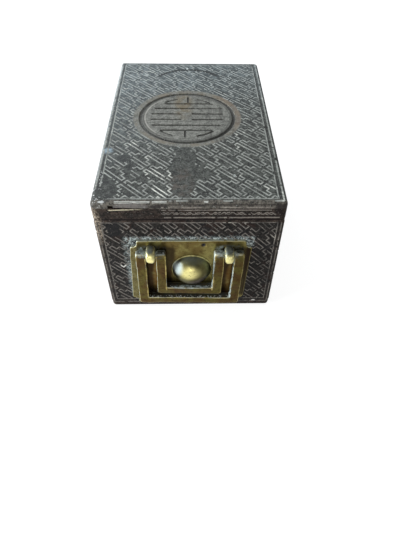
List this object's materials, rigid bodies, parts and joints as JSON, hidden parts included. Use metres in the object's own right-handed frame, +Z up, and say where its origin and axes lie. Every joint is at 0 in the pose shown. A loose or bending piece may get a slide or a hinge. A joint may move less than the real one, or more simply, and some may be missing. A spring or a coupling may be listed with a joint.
{
  "type": "ink stone box",
  "caption": "Small rectangular hardwood box with a lift-off lid, inlaid wire lattice and a brass bail on each end, holding an ink stone and an ink stick.",
  "frame": {"origin": "on the resting plane, at the middle of the box's footprint", "axes": "+X to the right seen from the front bail, +Y from the front bail to the back bail, +Z up"},
  "size_m": [0.1, 0.1778, 0.0847],
  "materials": {
    "dark_wood": "ebonised hardwood rubbed to a satin, brown where worn",
    "plain_wood": "unfinished hardwood inside the box",
    "aged_brass": "aged cast brass, bright where handled, pale verdigris in the corners",
    "silver_wire": "fine tarnished silver wire laid flush in the wood",
    "ink_stone": "matte dark slate",
    "ink": "hard moulded soot ink, matte"
  },
  "bodies": {
    "case": {"front_board": "dark_wood", "right_board": "dark_wood", "back_board": "dark_wood", "left_board": "dark_wood", "base_board": "plain_wood", "front_lip": "plain_wood", "back_lip": "plain_wood", "left_lip": "plain_wood", "right_lip": "plain_wood", "stone_bed": "plain_wood", "left_ledge": "plain_wood", "right_ledge": "plain_wood", "front_plate": "aged_brass", "front_boss": "aged_brass", "front_rove": "aged_brass", "front_left_post": "aged_brass", "front_right_post": "aged_brass", "back_plate": "aged_brass", "back_boss": "aged_brass", "back_rove": "aged_brass", "back_left_post": "aged_brass", "back_right_post": "aged_brass"},
    "lid": {"lid_panel": "dark_wood", "lid_front_rail": "dark_wood", "lid_right_rail": "dark_wood", "lid_back_rail": "dark_wood", "lid_left_rail": "dark_wood"},
    "front_bail": {"front_bail": "aged_brass"},
    "back_bail": {"back_bail": "aged_brass"},
    "tray": {"tray": "plain_wood"},
    "ink_stick": {"ink_stick": "ink"},
    "ink_stone": {"ink_stone": "ink_stone"}
  },
  "joints": [
    {"name": "lid_lift", "type": "slide", "parent": "case", "child": "lid", "axis": [0, 0, 1], "range_m": [0, 0.06]},
    {"name": "front_bail_swing", "type": "hinge", "parent": "case", "child": "front_bail", "pos_m": [0, -0.084, 0.052], "axis": [-1, 0, 0], "range_deg": [0, 170]},
    {"name": "back_bail_swing", "type": "hinge", "parent": "case", "child": "back_bail", "pos_m": [0, 0.084, 0.052], "axis": [1, 0, 0], "range_deg": [0, 170]},
    {"name": "tray_lift", "type": "slide", "parent": "case", "child": "tray", "axis": [0, 0, 1], "range_m": [0, 0.01]},
    {"name": "stick_lift", "type": "slide", "parent": "tray", "child": "ink_stick", "axis": [0, 0, 1], "range_m": [0, 0.014]},
    {"name": "stone_lift", "type": "slide", "parent": "case", "child": "ink_stone", "axis": [0, 0, 1], "range_m": [0, 0.012]}
  ]
}
